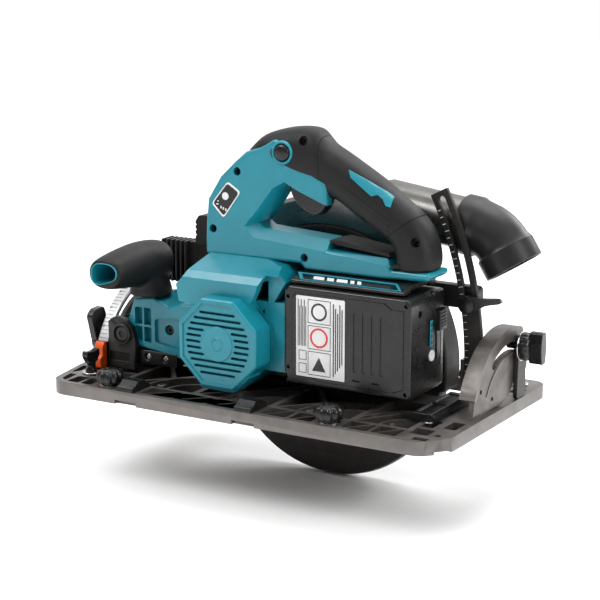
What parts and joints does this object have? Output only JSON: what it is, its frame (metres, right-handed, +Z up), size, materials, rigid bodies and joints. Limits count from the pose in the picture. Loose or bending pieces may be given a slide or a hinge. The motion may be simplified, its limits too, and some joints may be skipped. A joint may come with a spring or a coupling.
{
  "type": "circular saw",
  "caption": "Cordless guide-rail circular saw with cast base, bevel and depth adjustment, sprung lower guard, D handle, front grip and dust outlet.",
  "frame": {"origin": "middle of the base plate's sole face", "axes": "+X to the rear, against the cut; +Y to the blade side; +Z up from the sole"},
  "size_m": [0.449, 0.234, 0.3466],
  "materials": {
    "teal_plastic": "glass-filled moulded plastic, satin",
    "black_plastic": "fine-grained black moulding",
    "elastomer": "soft overmould, matt",
    "cast_base": "shot-blasted grey-brown die casting",
    "dark_casting": "dark grey powder coat",
    "steel": "ground steel",
    "scale_steel": "satin steel strip with etched graduations",
    "orange_plastic": "orange moulding",
    "screw_steel": "black oxide",
    "copper": "enamelled windings",
    "label": "printed film"
  },
  "bodies": {
    "base": {"base_plate": "cast_base", "front_quadrant": "dark_casting", "bevel_scale": "scale_steel", "rear_lug": "dark_casting", "rail_shoe_front": "black_plastic", "rail_shoe_rear": "black_plastic", "rear_cross_bar": "black_plastic", "bevel_stop": "orange_plastic"},
    "tilt_frame": {"front_bracket": "dark_casting", "depth_pivot_pin": "screw_steel", "depth_guide": "dark_casting", "rear_quadrant": "cast_base"},
    "saw_head": {"blade_case": "dark_casting", "blade_case_cover": "dark_casting", "gear_housing": "dark_casting", "gear_cover": "steel", "motor_housing": "teal_plastic", "motor_cap": "teal_plastic", "front_arm": "teal_plastic", "arm_screw": "screw_steel", "stator": "copper", "spindle_bearing": "steel", "motor_bearing_front": "steel", "motor_bearing_rear": "steel", "controller_board": "black_plastic", "handle_left_shell": "teal_plastic", "handle_right_shell": "teal_plastic", "handle_grip": "elastomer", "switch_module": "black_plastic", "control_panel": "black_plastic", "front_grip_core": "teal_plastic", "front_grip_cover": "elastomer", "dust_duct": "black_plastic", "battery_socket": "black_plastic", "spanner_holder": "elastomer", "handle_screw_upper": "screw_steel", "handle_screw_bar": "screw_steel"},
    "blade": {"saw_blade": "steel", "spindle_gear": "steel", "inner_flange": "steel", "outer_flange": "steel", "blade_bolt": "screw_steel"},
    "intermediate": {"intermediate_gear": "steel"},
    "rotor": {"rotor_shaft": "steel", "rotor_core": "steel", "cooling_fan": "black_plastic"},
    "lower_guard": {"lower_guard": "dark_casting"},
    "trigger": {"trigger": "black_plastic"},
    "lock_off_button": {"lock_off_button": "black_plastic"},
    "bevel_lever": {"bevel_lever": "black_plastic"},
    "rear_bevel_knob": {"rear_bevel_knob": "black_plastic"},
    "depth_lever": {"depth_lever": "black_plastic"},
    "rail_knob_front": {"rail_knob_front": "black_plastic"},
    "rail_knob_rear": {"rail_knob_rear": "black_plastic"},
    "fence_screw_front": {"fence_screw_front": "black_plastic"},
    "fence_screw_rear": {"fence_screw_rear": "black_plastic"},
    "dust_elbow": {"dust_elbow": "black_plastic"},
    "battery": {"battery_case": "black_plastic", "battery_label": "label"},
    "battery_release": {"battery_release": "label"}
  },
  "joints": [
    {"name": "bevel_tilt", "type": "hinge", "parent": "base", "child": "tilt_frame", "pos_m": [0, 0.04, 0], "axis": [-1, 0, 0], "range_deg": [0, 45]},
    {"name": "depth_swing", "type": "hinge", "parent": "tilt_frame", "child": "saw_head", "pos_m": [-0.171, 0, 0.049], "axis": [0, -1, 0], "range_deg": [0, 15]},
    {"name": "blade_spin", "type": "hinge", "parent": "saw_head", "child": "blade", "pos_m": [0.014, 0.04, 0.035], "axis": [0, 1, 0], "continuous": true},
    {"name": "intermediate_spin", "type": "hinge", "parent": "saw_head", "child": "intermediate", "pos_m": [-0.00652, 0.006, 0.04884], "axis": [0, 1, 0], "continuous": true},
    {"name": "rotor_spin", "type": "hinge", "parent": "saw_head", "child": "rotor", "pos_m": [-0.036, -0.03, 0.064], "axis": [0, 1, 0], "continuous": true},
    {"name": "lower_guard_swing", "type": "hinge", "parent": "saw_head", "child": "lower_guard", "pos_m": [0.014, 0.04, 0.035], "axis": [0, -1, 0], "range_deg": [0, 110], "stiffness_Nm_per_rad": 0.35, "springref_deg": -20.05},
    {"name": "trigger_pull", "type": "hinge", "parent": "saw_head", "child": "trigger", "pos_m": [0.005, -0.02, 0.219], "axis": [0, -1, 0], "range_deg": [0, 6], "stiffness_Nm_per_rad": 0.6, "springref_deg": -5.73},
    {"name": "lock_off_push", "type": "slide", "parent": "saw_head", "child": "lock_off_button", "axis": [0, 1, 0], "range_m": [0, 0.003], "stiffness_N_per_m": 400, "springref_m": -0.002},
    {"name": "bevel_lever_turn", "type": "hinge", "parent": "tilt_frame", "child": "bevel_lever", "pos_m": [-0.208, -0.03674, 0.03417], "axis": [1, 0, 0], "range_deg": [0, 60]},
    {"name": "rear_knob_turn", "type": "hinge", "parent": "base", "child": "rear_bevel_knob", "pos_m": [0.212, 0.0555, 0.0621], "axis": [1, 0, 0], "range_deg": [0, 180]},
    {"name": "depth_lever_turn", "type": "hinge", "parent": "saw_head", "child": "depth_lever", "pos_m": [0.17025, 0.009, 0.10611], "axis": [0, 1, 0], "range_deg": [0, 40]},
    {"name": "rail_knob_front_turn", "type": "hinge", "parent": "base", "child": "rail_knob_front", "pos_m": [-0.148, -0.103, 0.02], "axis": [0, 0, 1], "continuous": true},
    {"name": "rail_knob_rear_turn", "type": "hinge", "parent": "base", "child": "rail_knob_rear", "pos_m": [0.091, -0.103, 0.02], "axis": [0, 0, 1], "continuous": true},
    {"name": "fence_screw_front_turn", "type": "hinge", "parent": "base", "child": "fence_screw_front", "pos_m": [-0.19, -0.077, 0.02], "axis": [0, 0, 1], "continuous": true},
    {"name": "fence_screw_rear_turn", "type": "hinge", "parent": "base", "child": "fence_screw_rear", "pos_m": [0.1845, 0.096, 0.02], "axis": [0, 0, 1], "continuous": true},
    {"name": "dust_elbow_swivel", "type": "hinge", "parent": "saw_head", "child": "dust_elbow", "pos_m": [0.157, 0.045, 0.1715], "axis": [0.9907, 0, -0.1361], "range_deg": [0, 180]},
    {"name": "battery_slide", "type": "slide", "parent": "saw_head", "child": "battery", "axis": [1, 0, 0], "range_m": [0, 0.028]},
    {"name": "battery_release_push", "type": "slide", "parent": "battery", "child": "battery_release", "axis": [-1, 0, 0], "range_m": [0, 0.002], "stiffness_N_per_m": 500, "springref_m": -0.001}
  ],
  "couplings": [
    {"joint": "intermediate_spin", "follows": "blade_spin", "ratio": -1.75},
    {"joint": "rotor_spin", "follows": "blade_spin", "ratio": 5.6875}
  ]
}
